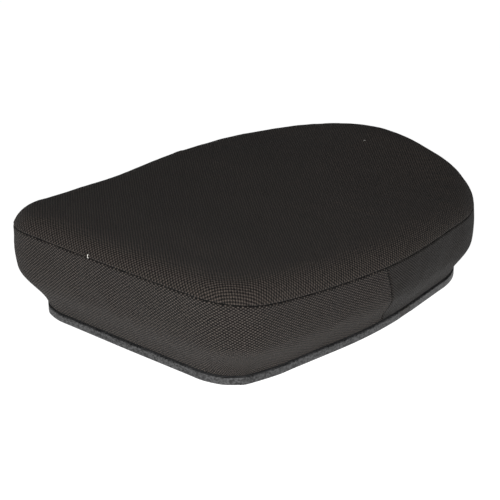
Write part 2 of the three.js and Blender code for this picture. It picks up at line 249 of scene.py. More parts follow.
def sewing_thread(name, color):
    """Twisted thread: fine diagonal ply from the position along and round it; the ply's ridges are painted
    paler than its grooves, painted light and shade.
    """
    r = Recipe(name)
    x, y, z = r.split(r.position())
    turn = r.math("ADD", r.math("ADD", x, y), r.math("MULTIPLY", z, 1.7))
    ply = r.math("SINE", r.math("MULTIPLY", turn, 2 * math.pi / PLY))
    # Ply ridges paler, grooves darker: painted light and shade along the twist.
    pale = tuple(c * 1.8 for c in color)
    ply_light_and_shade = r.blend(r.ranged(ply, -1, 1, 0, 1), color, pale)
    return r.finish(ply_light_and_shade, 0.85, r.bump(ply, 0.1 * MM), Specular_IOR_Level=0.15)


def rubber(name):
    r = Recipe(name)
    place = r.position()
    dust = r.noise(place, 120, 4.0, 0.6)
    color = r.blend(r.ranged(dust, 0.5, 0.75, 0, 1), (0.012, 0.012, 0.012), (0.035, 0.033, 0.03))
    return r.finish(color, r.ranged(dust, 0.3, 0.7, 0.7, 0.92), r.bump(r.noise(place, 1500, 2.0), 0.1 * MM))


# Painted shade: the near-black colour of the gaps between nubs stands for the shade in the hollows between
# the yarns.
NUB_GAP_SHADE = (0.0010, 0.0009, 0.0008)
LIGHT_YARN = (0.068, 0.0545, 0.0460)
BRIGHT_NUB = (0.112, 0.0915, 0.0780)  # the same yarn where the nubs stand crisp: less of it is lit
SHADED_FRONT_YARN = (0.034, 0.0290, 0.0250)  # the front band's cloth: its weave smoother, its yarn painted darker than the side band's, painted shade of a face the key light reaches less
TURNED = 0.1  # the band cloth lies this far off its cut edge, in radians
CRISP = 2.8
top_cloth = woven_cloth("top_fabric", NUB_GAP_SHADE, LIGHT_YARN, 4.3 * MM, 3.9 * MM, 1.0 * MM)
band_cloth = woven_cloth("band_fabric", NUB_GAP_SHADE, BRIGHT_NUB, 5.1 * MM, 3.35 * MM, 1.8 * MM, TURNED, CRISP)
front_cloth = woven_cloth("front_band_fabric", NUB_GAP_SHADE, SHADED_FRONT_YARN, 3.9 * MM, 3.6 * MM, 0.7 * MM)
# Painted shade: the seam thread is dark thread made near black, darker than real thread, for the shade in the
# seam's groove.
dark_thread = sewing_thread("seam_thread", (0.0025, 0.0023, 0.0021))
pale_thread = sewing_thread("pale_thread", (0.5, 0.49, 0.46))
grey_edge = plastic("edge_plastic", (0.004, 0.004, 0.0041), (0.064, 0.064, 0.065), 2.4 * MM, 0.4 * MM, 0.5)
dark_joiner = plastic("joiner_plastic", (0.012, 0.011, 0.010), (0.030, 0.028, 0.025), 0.9 * MM, 0.2 * MM, 0.6)
BLACK_PLASTIC, SCUFFED_PLASTIC = (0.016, 0.016, 0.017), (0.032, 0.032, 0.033)
# The hem cord's colours are black plastic made darker still: painted shade of the slit between the cover and
# the grey edge.
CORD_BLACK_AND_SLIT_SHADE, CORD_GREY_AND_SLIT_SHADE = (0.003, 0.003, 0.003), (0.007, 0.007, 0.007)
board_plastic = plastic("base_plastic", BLACK_PLASTIC, SCUFFED_PLASTIC, 1.2 * MM, 0.15 * MM, 0.55)
cord_plastic_and_slit_shade = plastic("cord_plastic_and_slit_shade", CORD_BLACK_AND_SLIT_SHADE, CORD_GREY_AND_SLIT_SHADE, 0.8 * MM, 0.05 * MM, 0.75)
core_foam = foam("core_foam", (0.60, 0.53, 0.36), (0.70, 0.64, 0.46), 1.6 * MM)
soft_foam = foam("soft_foam", (0.72, 0.67, 0.55), (0.80, 0.76, 0.66), 1.1 * MM)
zinc_steel = zinc("zinc_steel")
foot_rubber = rubber("foot_rubber")


def dress(prefix, material):
    """Gives a kept CAD node, or every node whose name starts so, its material."""
    for name, node in nodes.items():
        if name.startswith(prefix):
            node.data.materials.clear()
            node.data.materials.append(material)


# ------------------------------------------------ the outline, read from the frame
CORD_GAP = 0.02  # radians round the object: corners of one section of the CAD cord lie closer than this


def seam_line():
    """Centres of the CAD seam cord, one for each station, in order round the object from the rear."""
    corners = np.array([v.co for v in nodes["top_seam"].data.vertices])
    angle = np.mod(np.arctan2(corners[:, 0], -corners[:, 1]), 2 * math.pi)
    order = np.argsort(angle)
    corners, angle = corners[order], angle[order]
    breaks = np.where(np.diff(angle) > CORD_GAP)[0] + 1
    groups = np.split(np.arange(len(angle)), breaks)
    if angle[0] + 2 * math.pi - angle[-1] < CORD_GAP:
        groups = [np.concatenate([groups[-1], groups[0]]), *groups[1:-1]]
    centres = []
    for group in groups:
        ring = corners[group]
        centres.append((ring.max(0) + ring.min(0)) / 2)
    return np.array(centres)


CURVE_STEPS = 24  # points worked out between two that a curve passes through


def smooth_loop(points, count):
    """A closed Catmull-Rom curve through the points, sampled evenly by arc length."""
    fine = []
    t = np.arange(CURVE_STEPS)[:, None] / CURVE_STEPS
    for i in range(len(points)):
        a, b, c, d = (points[(i + k) % len(points)] for k in (-1, 0, 1, 2))
        fine.append(b + 0.5 * t * (c - a + t * (2 * a - 5 * b + 4 * c - d + t * (3 * b - 3 * c + d - a))))
    fine = np.vstack(fine)
    closed = np.vstack([fine, fine[:1]])
    run = np.concatenate([[0], np.cumsum(np.linalg.norm(np.diff(closed[:, :2], axis=0), axis=1))])
    wanted = np.linspace(0, run[-1], count, endpoint=False)
    return np.column_stack([np.interp(wanted, run, closed[:, k]) for k in range(3)]), run[-1]


THREAD_SET_IN = 0.9 * MM  # the CAD seam cord's centre lies this far inside the outline
SEAM_SLIT = 2.2 * MM  # slit between the top panel and the bands in the frame
STATIONS = 720

raw_seam, seam_length = smooth_loop(seam_line(), STATIONS)
ahead = np.roll(raw_seam[:, :2], -1, 0) - np.roll(raw_seam[:, :2], 1, 0)
ahead /= np.linalg.norm(ahead, axis=1)[:, None]
inward = np.column_stack([-ahead[:, 1], ahead[:, 0]])
if (inward * raw_seam[:, :2]).sum() > 0:
    inward = -inward
outline = raw_seam[:, :2] - inward * THREAD_SET_IN
seam_z = raw_seam[:, 2] - SEAM_SLIT / 2  # upper edge of the bands
run_along = np.arange(STATIONS) / STATIONS * seam_length
STEP = seam_length / STATIONS


OUTERMOST_SHARE = 0.985  # a corner belongs to the board's outline if it is this far out, as a share of
OUTERMOST_REACH = math.radians(4)  # the furthest one that lies within this angle of it


def rim_line():
    """Closed line of the edge profile's outer face: the board's outline, moved out by the profile's wall."""
    board = np.unique(np.array([v.co for v in nodes["base_board"].data.vertices])[:, :2].round(6), axis=0)
    angle = np.mod(np.arctan2(board[:, 0], -board[:, 1]), 2 * math.pi)
    order = np.argsort(angle)
    board, angle = board[order], angle[order]
    radius = np.linalg.norm(board, axis=1)
    outermost = []
    for i in range(len(board)):
        apart = np.abs((angle - angle[i] + math.pi) % (2 * math.pi) - math.pi)
        outermost.append(radius[i] > OUTERMOST_SHARE * radius[apart < OUTERMOST_REACH].max())
    corners = board[outermost]
    line, _ = smooth_loop(np.column_stack([corners, np.zeros(len(corners))]), STATIONS)
    line = line[:, :2]
    forward = unit(np.roll(line, -1, 0) - np.roll(line, 1, 0))
    outward = np.column_stack([forward[:, 1], -forward[:, 0]])
    if (outward * line).sum() < 0:
        outward = -outward
    return line + outward * WALL_AND_GAP


def depth_to_line(line):
    """Distance from each station straight inwards to the line, as on the CAD sections."""
    depths = []
    for start, inwards in zip(outline, inward):
        away = line - start
        side = away[:, 0] * inwards[1] - away[:, 1] * inwards[0]
        depth = away @ inwards
        after_side, after_depth = np.roll(side, -1), np.roll(depth, -1)
        crossing = (side * after_side <= 0) & (depth > 0) & (depth < DEEPEST_RIM)
        i = np.where(crossing)[0][0]
        part = side[i] / (side[i] - after_side[i])
        depths.append(depth[i] + (after_depth[i] - depth[i]) * part)
    return np.array(depths)


def unit(vectors):
    return vectors / np.linalg.norm(vectors, axis=-1, keepdims=True)


WALL_AND_GAP = 2.8 * MM
DEEPEST_RIM = 80 * MM
rim_depth = depth_to_line(rim_line())


# ------------------------------------------------ shape of the cushion, as in the frame
SEAM_MID = 92 * MM
SEAM_BOW = 26 * MM
SEAM_TILT = 4.5 * MM
DIP_PLACE = (156 * MM, 190 * MM)
DIP_DEPTH = 16 * MM
DIP_SPREAD = 90 * MM
CROWN = 24 * MM
SHOULDER = 12 * MM
TUCK = 0.8 * MM
BAND_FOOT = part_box("side_band")[0].z + 0.9 * MM
HALF_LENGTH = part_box("top_seam")[1].y
CENTRE = np.array([0.0, 10 * MM])
EDGE_ROLL = 1.6 * MM  # radius with which each cover piece turns in at a seam
SLIT = 1.8 * MM  # what stays open between two rolled edges
UPRIGHT_TOP_Y = -28 * MM  # the upright seams lean: their tops are further back than their feet
UPRIGHT_FOOT_Y = -4 * MM


def seam_height(x, y):
    along = y / HALF_LENGTH
    away = np.hypot(np.abs(x) - DIP_PLACE[0], y - DIP_PLACE[1]) / DIP_SPREAD
    return SEAM_MID + SEAM_TILT * along + SEAM_BOW * along**2 - DIP_DEPTH * np.exp(-(away**2))


def smoothstep(low, high, value):
    t = np.clip((value - low) / (high - low), 0, 1)
    return t * t * (3 - 2 * t)


def ripple(run, wavelengths, seed):
    """A slow irregular wave along the seam, between about -1 and 1, that closes on itself."""
    random = np.random.default_rng(seed)
    total = np.zeros_like(run)
    for wavelength in wavelengths:
        turns = max(1, round(seam_length / wavelength))
        phase = random.uniform(0, 2 * math.pi)
        total += np.sin(2 * math.pi * turns * run / seam_length + phase) / len(wavelengths)
    return total


def band_tuck(v):
    return 0.3 * v**1.6 + 0.7 * smoothstep(0.5, 1.0, v)


# ------------------------------------------------ mesh helpers
def mesh_piece(name, points, faces, material, cloth=None):
    """A smooth-shaded piece. cloth holds each point's place on the flat cloth, in metres."""
    mesh = bpy.data.meshes.new(name)
    mesh.from_pydata(np.asarray(points).tolist(), [], faces)
    mesh.materials.append(material)
    if cloth is not None:
        layer = mesh.attributes.new("cloth", "FLOAT_VECTOR", "POINT")
        layer.data.foreach_set("vector", np.asarray(cloth, dtype=np.float32).ravel())
    mesh.polygons.foreach_set("use_smooth", [True] * len(mesh.polygons))
    mesh.update()
    piece = bpy.data.objects.new(name, mesh)
    bpy.context.scene.collection.objects.link(piece)
    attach(piece, "root")
    return piece


def grid_faces(rows, columns, loop):
    """Quads of a grid of points stored row by row; each row closes on itself when loop is true."""
    faces = []
    for row in range(rows - 1):
        for column in range(columns if loop else columns - 1):
            after = (column + 1) % columns
            a, b = row * columns + column, row * columns + after
            c, d = (row + 1) * columns + after, (row + 1) * columns + column
            faces.append((a, b, c, d))
    return faces


def surface_run(rows):
    """Distance travelled over the surface from the first row to each row, station by station."""
    steps = np.linalg.norm(np.diff(rows, axis=0), axis=2)
    return np.vstack([np.zeros(rows.shape[1]), np.cumsum(steps, axis=0)])


# ------------------------------------------------ a sewn piece of cloth
CLOTH_THICKNESS = 2.6 * MM
AT_EDGE = 0.001 * MM  # a point nearer to the sewn edge than this is on it
FAR_FROM_EDGE = 1.0
FLANGE = 4 * MM  # how deep a piece's edge runs into its seam
ROLL_STEPS = np.array([0.0, 0.04, 0.14, 0.32, 0.6, 1.0]) * EDGE_ROLL  # distances from a sewn edge
PUCKER_HEIGHT = 0.35 * MM
PUCKER_REACH = 11 * MM
PUCKER_START = 2 * MM
PUCKER_FADE, PUCKER_RISE = 0.12, 0.02  # the same two on the bands, as shares of their height
SWAY_HEIGHT = 0.9 * MM
SWAY_WIDTH = 32 * MM
pucker = ripple(run_along, (19 * MM, 27 * MM, 41 * MM), 3)
sway = ripple(run_along, (160 * MM, 260 * MM), 11)


def roll(distance):
    """How far a piece's face has turned in at this distance from its sewn edge."""
    near = np.clip(1 - distance / EDGE_ROLL, 0, 1)
    return EDGE_ROLL * (1 - np.sqrt(1 - near**2))


def at(values, station):
    """Values of a per-station array at fractional stations, going on past either end of the loop."""
    low = np.floor(station).astype(int)
    part = station - low
    if values.ndim > 1:
        part = part[..., None]
    return values[low % STATIONS] * (1 - part) + values[(low + 1) % STATIONS] * part


def face_normals(grid, loop):
    """Outward normals of a grid of points: rows by columns, columns in order round the object."""
    down = np.gradient(grid, axis=0)
    if loop:
        across = np.roll(grid, -1, 1) - np.roll(grid, 1, 1)
    else:
        across = np.gradient(grid, axis=1)
    normals = unit(np.cross(across, down))
    outwards = (normals[..., :2] * (grid[..., :2] - CENTRE)).sum()
    return normals if outwards > 0 else -normals


def border(rows, columns):
    """Places round the edge of a grid, in the order in which its faces run."""
    top = [(0, c) for c in range(columns)]
    right = [(r, columns - 1) for r in range(1, rows)]
    bottom = [(rows - 1, c) for c in range(columns - 2, -1, -1)]
    left = [(r, 0) for r in range(rows - 2, 0, -1)]
    return top + right + bottom + left


def signed_volume(points, faces):
    total = 0.0
    for face in faces:
        a = points[face[0]]
        for k in range(1, len(face) - 1):
            total += a.dot(np.cross(points[face[k]], points[face[k + 1]]))
    return total


def sewn_sheet(name, grid, distance, weave, material, middle=None):
    """A closed cloth piece from a grid of points on its face.

    distance is how far each point is from a sewn edge. With middle, the grid's columns close on
    themselves and its last row is joined to that point; otherwise the grid has four edges."""
    loop = middle is not None
    rows, columns = grid.shape[:2]
    normals = face_normals(grid, loop)
    depth = np.where(distance < AT_EDGE, FLANGE, CLOTH_THICKNESS)[..., None]
    front = (grid - normals * roll(distance)[..., None]).reshape(-1, 3)
    back = (grid - normals * depth).reshape(-1, 3)
    count = rows * columns
    points, cloth = [front, back], [weave.reshape(-1, 3)] * 2
    faces = grid_faces(rows, columns, loop)
    edge = border(rows, columns)
    if loop:
        points.append(np.array([middle, middle - np.array([0, 0, CLOTH_THICKNESS])]))
        cloth.append(np.zeros((2, 3)))
        last = (rows - 1) * columns
        faces += [(last + c, last + (c + 1) % columns, 2 * count) for c in range(columns)]
        edge = [(0, c) for c in range(columns)]
    behind = {2 * count: 2 * count + 1}
    faces += [tuple(behind.get(k, k + count) for k in face[::-1]) for face in faces]
    for i, place in enumerate(edge):
        p = place[0] * columns + place[1]
        after = edge[(i + 1) % len(edge)]
        q = after[0] * columns + after[1]
        faces.append((q, p, p + count, q + count))
    points = np.vstack(points)
    sample = faces[: len(faces) // 3]
    centre_face = points[list(sample[len(sample) // 2])]
    facing = np.cross(centre_face[1] - centre_face[0], centre_face[2] - centre_face[0])
    place = sample[len(sample) // 2][0]
    if facing.dot(normals.reshape(-1, 3)[place]) < 0:
        faces = [face[::-1] for face in faces]
    return mesh_piece(name, points, faces, material, np.vstack(cloth))


# ------------------------------------------------ faces of the cushion, before their edges are rolled
BAND_BULGE = 1.6 * MM
BULGE_FOOT = 0.8  # share of the height at which the bulge has died away
SWAY_DEPTH = 35 * MM  # the top's slow waves are highest this far in from the seam
# Where along the seat the top is a little fuller or flatter than an even crown: y, width, height.
FULLNESS = [(-150 * MM, 65 * MM, 2.6 * MM), (60 * MM, 110 * MM, -1.3 * MM), (235 * MM, 50 * MM, 0.4 * MM)]


def top_face(station, share):
    """Points of the crowned top: share runs from 0 at the seam to 1 in the middle."""
    start = at(outline, station)
    plan = start + (CENTRE - start) * share[..., None]
    depth = np.linalg.norm(plan - start, axis=-1)
    seam = seam_height(plan[..., 0], plan[..., 1]) + (SEAM_SLIT + SLIT) / 2
    z = seam + (CROWN + (SEAM_SLIT - SLIT) / 2) * (1 - np.exp(-depth / SHOULDER))
    edge_wave = np.exp(-depth / PUCKER_REACH) * (1 - np.exp(-depth / PUCKER_START))
    z = z + PUCKER_HEIGHT * at(pucker, station) * edge_wave
    z = z + SWAY_HEIGHT * at(sway, station) * np.exp(-(((depth - SWAY_DEPTH) / SWAY_WIDTH) ** 2))
    for middle, width, height in FULLNESS:
        swell = np.exp(-(((plan[..., 1] - middle) / width) ** 2))
        z = z + height * swell * (1 - np.exp(-depth / SHOULDER))
    return np.concatenate([plan, z[..., None]], axis=-1)


def band_face(station, v):
    """Points of the band: v runs from 0 at the seam to 1 at its foot."""
    top = at(seam_z, station) + (SEAM_SLIT - SLIT) / 2
    depth = band_tuck(v) * (at(rim_depth, station) + TUCK)
    depth = depth - BAND_BULGE * np.sin(math.pi * np.minimum(1, v / BULGE_FOOT)) ** 2
    edge_wave = np.exp(-v / PUCKER_FADE) * (1 - np.exp(-v / PUCKER_RISE))
    depth = depth - PUCKER_HEIGHT * at(pucker, station) * edge_wave
    depth = depth + SWAY_HEIGHT * at(sway, station) * np.sin(math.pi * v)
    plan = at(outline, station) + at(inward, station) * depth[..., None]
    z = top + (BAND_FOOT - top) * v
    return np.concatenate([plan, z[..., None]], axis=-1)


# ------------------------------------------------ folds of the cover, by cloth simulation
SIM_STATIONS = np.arange(0, STATIONS, 3)
SIM_SHARES = np.concatenate([[0], np.linspace(0.012, 0.2, 11), np.linspace(0.26, 0.9, 9)])
SIM_HEIGHTS = np.linspace(0, 1, 15)
SIM_CAP = 0.7 * MM  # the most that a fold moves the cover
SIM_STEPS = 20


def band_seam_stations(v):
    """Stations of the right and left upright seams at a height."""
    right = right_top + (right_foot - right_top) * v
    left = left_top + (left_foot - left_top) * v
    return right, left


def simulated_folds():
    """Folds that pressure gives the cover between its seams: grids of moves for the top and the bands.

    The cloth's broad movement is left out, because the frame already holds the full shape."""
    station = SIM_STATIONS.astype(float)
    top = np.array([top_face(station, np.full(len(station), share)) for share in SIM_SHARES])
    band = np.array([band_face(station, np.full(len(station), v)) for v in SIM_HEIGHTS])
    columns = len(station)
    rows = np.concatenate([top[::-1], band[1:]])
    points = np.vstack([rows.reshape(-1, 3), [[*CENTRE, rows[0, :, 2].mean()]], [[*CENTRE, BAND_FOOT]]])
    faces = grid_faces(len(rows), columns, True)
    last = (len(rows) - 1) * columns
    middle, under = len(points) - 2, len(points) - 1
    faces += [((c + 1) % columns, c, middle) for c in range(columns)]
    faces += [(last + c, last + (c + 1) % columns, under) for c in range(columns)]
    if signed_volume(points, faces) < 0:
        faces = [face[::-1] for face in faces]
    mesh = bpy.data.meshes.new("cover_simulation")
    mesh.from_pydata(points.tolist(), [], faces)
    dummy = bpy.data.objects.new("cover_simulation", mesh)
    bpy.context.scene.collection.objects.link(dummy)
    seam_row = len(top) - 1
    held = dummy.vertex_groups.new(name="held")
    pinned = [seam_row * columns + c for c in range(columns)] + [last + c for c in range(columns)] + [under]
    for k, v in enumerate(SIM_HEIGHTS):
        for seam in band_seam_stations(v):
            away = np.abs((station - seam + STATIONS / 2) % STATIONS - STATIONS / 2)
            pinned.append((seam_row + k) * columns + int(away.argmin()))
    held.add(pinned, 1.0, "REPLACE")
    cloth = dummy.modifiers.new("cloth", "CLOTH").settings
    cloth.quality = 6
    cloth.mass = 0.25
    cloth.use_pressure = True
    cloth.uniform_pressure_force = 4
    cloth.shrink_min = -0.012
    cloth.tension_stiffness = 25
    cloth.compression_stiffness = 25
    cloth.shear_stiffness = 12
    cloth.bending_stiffness = 0.8
    cloth.vertex_group_mass = "held"
    cloth.effector_weights.gravity = 0
    scene = bpy.context.scene
    for step in range(1, SIM_STEPS + 1):
        scene.frame_set(step)
    moved = dummy.evaluated_get(bpy.context.evaluated_depsgraph_get()).to_mesh()
    after = np.array([v.co for v in moved.vertices])
    scene.frame_set(1)
    bpy.data.objects.remove(dummy)
    move = (after - points)[: len(rows) * columns].reshape(len(rows), columns, 3)
    normals = face_normals(rows, True)
    swell = (move * normals).sum(-1)
    folds = swell - smoothed(swell)
    from_seam = np.abs(np.arange(len(rows)) - seam_row)
    folds = (np.roll(folds, 1, 1) + 2 * folds + np.roll(folds, -1, 1)) / 4
    folds = SIM_CAP * np.tanh(folds / SIM_CAP) * np.minimum(1, from_seam / 3)[:, None]
    grid = normals * folds[..., None]
    return grid[seam_row::-1], grid[seam_row:]


def smoothed(field):
    """The field averaged over a few neighbours each way: columns close on themselves, rows don't."""
    for _ in range(3):
        field = sum(np.roll(field, k, 1) for k in range(-4, 5)) / 9
        longer = np.vstack([field[:1], field[:1], field, field[-1:], field[-1:]])
        field = sum(longer[k : k + len(field)] for k in range(5)) / 5
    return field


def from_grid(grid, row, station):
    """Values of a simulated grid at fractional rows and stations."""
    column = station / (SIM_STATIONS[1] - SIM_STATIONS[0])
    low_row = np.clip(np.floor(row).astype(int), 0, len(grid) - 2)
    low_column = np.floor(column).astype(int)
    r = (row - low_row)[..., None]
    c = (column - low_column)[..., None]
    count = grid.shape[1]
    a = grid[low_row, low_column % count] * (1 - c) + grid[low_row, (low_column + 1) % count] * c
    b = grid[low_row + 1, low_column % count] * (1 - c) + grid[low_row + 1, (low_column + 1) % count] * c
    return a * (1 - r) + b * r


def upright_station(y, side):
    """Fractional station where the outline passes this y on one side of the object."""
    half = np.where(outline[:, 0] * side > 0)[0]
    order = half[np.argsort(outline[half, 1])]
    return np.interp(y, outline[order, 1], order.astype(float))


right_top, left_top = upright_station(UPRIGHT_TOP_Y, 1), upright_station(UPRIGHT_TOP_Y, -1)
right_foot, left_foot = upright_station(UPRIGHT_FOOT_Y, 1), upright_station(UPRIGHT_FOOT_Y, -1)
top_folds, band_folds = simulated_folds()


# ------------------------------------------------ cover: top panel
SHOULDER_SHARE = 0.2  # rows lie closer together out to here, where the top curves down to its seam
LAST_SHARE = 0.985
EXTRA_CLOTH = 0.6  # how much of the crown's extra length the flat cloth takes up towards its edge


def top_cover():
    reach = np.linalg.norm(outline - CENTRE, axis=1)
    slope = math.hypot(1, CROWN / SHOULDER)
    station = np.arange(STATIONS, dtype=float)
    first = EDGE_ROLL / slope / reach
    shares = [step / slope / reach for step in ROLL_STEPS]
    shares += [first + (SHOULDER_SHARE - first) * k**1.3 for k in np.linspace(0, 1, 34)[1:]]
    shares += [np.full(STATIONS, share) for share in np.linspace(SHOULDER_SHARE, LAST_SHARE, 46)[1:]]
    shares = np.array(shares)
    stations = np.broadcast_to(station, shares.shape)
    grid = top_face(stations, shares)
    if top_folds is not None:
        row = np.interp(shares, SIM_SHARES, np.arange(len(SIM_SHARES)))
        grid = grid + from_grid(top_folds, row, stations)
    distance = np.full(shares.shape, FAR_FROM_EDGE)
    distance[: len(ROLL_STEPS)] = ROLL_STEPS[:, None]
    run = surface_run(grid)
    to_middle = np.linalg.norm(grid[..., :2] - CENTRE, axis=-1)
    extra = run[-1] + to_middle[-1] - run - to_middle
    flat = grid[..., :2] - inward[None] * extra[..., None] * EXTRA_CLOTH
    weave = np.concatenate([flat, np.zeros((*run.shape, 1))], axis=-1)
    middle = np.array([*CENTRE, grid[-1, :, 2].mean()])
    piece = sewn_sheet("cover_top", grid, distance, weave, top_cloth, middle)
    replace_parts(piece, "top_panel")


top_cover()

# ------------------------------------------------ cover: bands
BAND_ROWS = 48
BAND_STEP = 2.2 * MM


def band_cover(name, start_of, end_of, material):
    """A band between two upright seams. start_of and end_of give its end stations at a height."""
    inner_rows = np.linspace(0, 1, BAND_ROWS)[1:-1]
    middle_station = (start_of(0.5) + end_of(0.5)) / 2
    height = float(at(seam_z, np.array(middle_station))) - BAND_FOOT
    near_top = ROLL_STEPS / height
    v = np.concatenate([near_top, near_top[-1] + (1 - 2 * near_top[-1]) * inner_rows, 1 - near_top[::-1]])
    to_edge_v = np.minimum(v, 1 - v) * height
    run = (end_of(0.5) - start_of(0.5)) * STEP
    count = round(run / BAND_STEP)
    between = EDGE_ROLL + (run - 2 * EDGE_ROLL) * np.linspace(0, 1, count)[1:-1]
    along = np.concatenate([ROLL_STEPS, between, run - ROLL_STEPS[::-1]])
    to_edge_u = np.minimum(along, run - along)
    start, end = start_of(v)[:, None], end_of(v)[:, None]
    gap = SLIT / 2 / STEP
    stations = (start + gap) + (end - start - 2 * gap) * (along / run)[None]
    heights = np.broadcast_to(v[:, None], stations.shape)
    grid = band_face(stations, heights)
    if band_folds is not None:
        grid = grid + from_grid(band_folds, heights * (len(SIM_HEIGHTS) - 1), stations)
    distance = np.minimum(to_edge_v[:, None], to_edge_u[None])
    down = surface_run(grid)
    weave = np.stack([stations * STEP, down, np.zeros(down.shape)], axis=-1)
    piece = sewn_sheet(name, grid, distance, weave, material)
    return piece


side_cover = band_cover(
    "cover_side_band",
    lambda v: band_seam_stations(v)[1] - STATIONS,
    lambda v: band_seam_stations(v)[0],
    band_cloth,
)
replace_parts(side_cover, "side_band")
front_cover = band_cover(
    "cover_front_band",
    lambda v: band_seam_stations(v)[0],
    lambda v: band_seam_stations(v)[1],
    front_cloth,
)
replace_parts(front_cover, "front_band")


# ------------------------------------------------ stitched seams
STITCH = 4.4 * MM
THREAD_RADIUS = 0.85 * MM
THREAD_SQUEEZE = 0.1  # share by which the thread narrows where it goes in
STITCH_BOW = 0.7 * MM  # a stitch stands this much prouder in its middle than where it goes in
STITCH_STEPS = 8
STITCH_DEPTH = 3.2 * MM


def tube(name, path, outwards, radius, material, closed, sides=7):
    """A round thread along a path; outwards is a direction across it at each point."""
    ahead_of = np.roll(path, -1, 0) - np.roll(path, 1, 0) if closed else np.gradient(path, axis=0)
    ahead_of = unit(ahead_of)
    across = unit(np.cross(ahead_of, outwards))
    up = np.cross(across, ahead_of)
    angles = np.arange(sides) * 2 * math.pi / sides
    radius = np.broadcast_to(radius, len(path))[:, None, None]
    ring = across[:, None] * np.cos(angles)[None, :, None] + up[:, None] * np.sin(angles)[None, :, None]
    points = (path[:, None] + ring * radius).reshape(-1, 3)
    count = len(path)
    faces = []
    for i in range(count if closed else count - 1):
        after = (i + 1) % count
        for k in range(sides):
            n = (k + 1) % sides
            faces.append((i * sides + k, i * sides + n, after * sides + n, after * sides + k))
    if not closed:
        faces.append(tuple(range(sides))[::-1])
        faces.append(tuple((count - 1) * sides + k for k in range(sides)))
    if signed_volume(points, faces) < 0:
        faces = [face[::-1] for face in faces]
    return mesh_piece(name, points, faces, material)


def stitched(name, path, outwards, material, closed):
    """Lock stitches along a line: the thread bows out between the holes and dives at each one."""
    run = np.concatenate([[0], np.cumsum(np.linalg.norm(np.diff(path, axis=0), axis=1))])
    count = round(run[-1] / STITCH)
    wanted = np.linspace(0, run[-1], count * STITCH_STEPS, endpoint=not closed)
    line = np.column_stack([np.interp(wanted, run, path[:, k]) for k in range(3)])
    normal = unit(np.column_stack([np.interp(wanted, run, outwards[:, k]) for k in range(3)]))
    phase = np.abs(np.sin(math.pi * wanted / run[-1] * count))
    line = line - normal * (STITCH_DEPTH - STITCH_BOW * phase[:, None] ** 0.5)
    radius = THREAD_RADIUS * (1 - THREAD_SQUEEZE + THREAD_SQUEEZE * phase**0.5)
    piece = tube(name, line, normal, radius, material, closed)
    return piece


def perimeter_seam():
    station = np.arange(STATIONS + 1, dtype=float)
    plan = at(outline, station)
    z = at(seam_z, station) + SEAM_SLIT / 2
    out = np.column_stack([-at(inward, station), np.full(len(station), 0.35)])
    return stitched("perimeter_stitching", np.column_stack([plan, z]), unit(out), dark_thread, True)


def upright_seam(side):
    v = np.linspace(0.012, 0.99, 40)
    station = band_seam_stations(v)[0 if side > 0 else 1]
    line = band_face(station, v)
    if band_folds is not None:
        line = line + from_grid(band_folds, v * (len(SIM_HEIGHTS) - 1), station)
    out = np.column_stack([-at(inward, station), np.zeros(len(v))])
    name = "upright_stitching_right" if side > 0 else "upright_stitching_left"
    return stitched(name, line, out, dark_thread, False)


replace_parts(perimeter_seam(), "top_seam")
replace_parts(upright_seam(1), "upright_seam_right")
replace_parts(upright_seam(-1), "upright_seam_left")

# ------------------------------------------------ edge profile and its joiners
PROFILE_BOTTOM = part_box("side_edge_profile")[0].z
PROFILE_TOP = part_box("side_edge_profile")[1].z
BOARD_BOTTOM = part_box("base_board")[0].z
PROFILE_WALL = 2.5 * MM
PROFILE_LIP = 14 * MM
JOINER_START, JOINER_END = 0.278, 0.292  # as fractions of the way round, from the rear middle
JOINER_SETBACK = 0.4 * MM
END_EASE = 0.35 * MM


def rounded(corners, steps=5):
    """A closed section from (depth, z, radius) corners, each rounded off."""
    section = []
    count = len(corners)
    for i, (x, z, radius) in enumerate(corners):
        corner = np.array([x, z])
        before = np.array(corners[i - 1][:2]) - corner
        after = np.array(corners[(i + 1) % count][:2]) - corner
        start = corner + before / np.linalg.norm(before) * radius
        end = corner + after / np.linalg.norm(after) * radius
        for t in np.linspace(0, 1, steps):
            section.append((1 - t) ** 2 * start + 2 * t * (1 - t) * corner + t**2 * end)
    return np.array(section)


def profile_section(setback):
    lip_top = BOARD_BOTTOM - 0.3 * MM
    return rounded([
        (setback, PROFILE_BOTTOM, 0.8 * MM),
        (setback, PROFILE_TOP, 1.3 * MM),
        (PROFILE_WALL, PROFILE_TOP, 0.4 * MM),
        (PROFILE_WALL, lip_top, 0.2 * MM),
        (PROFILE_LIP, lip_top, 0.5 * MM),
        (PROFILE_LIP, PROFILE_BOTTOM, 0.5 * MM),
    ])


def profile_length(name, node, start, end, setback, material):
    """A length of the extruded edge, with lightly eased ends, between two fractions of the way round."""
    section = profile_section(setback)
    middle = section.mean(0)
    small = section + (middle - section) / np.linalg.norm(middle - section, axis=1)[:, None] * END_EASE
    first, last = start * STATIONS, end * STATIONS
    inner = np.linspace(first + END_EASE / STEP, last - END_EASE / STEP, max(3, round(last - first)))
    stations = np.concatenate([[first], inner, [last]])
    shapes = [small] + [section] * len(inner) + [small]
    points = []
    for station, shape in zip(stations, shapes):
        s = np.full(len(shape), station)
        plan = at(outline, s) + at(inward, s) * (at(rim_depth, s) + shape[:, 0])[:, None]
        points.append(np.column_stack([plan, shape[:, 1]]))
    points = np.array(points)
    rows, columns = points.shape[:2]
    faces = grid_faces(rows, columns, True)
    faces.append(tuple(range(columns))[::-1])
    faces.append(tuple((rows - 1) * columns + k for k in range(columns)))
    points = points.reshape(-1, 3)
    if signed_volume(points - points.mean(0), faces) < 0:
        faces = [face[::-1] for face in faces]
    piece = mesh_piece(name, points, faces, material)
    piece.data.set_sharp_from_angle(angle=math.radians(40))
    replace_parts(piece, node)


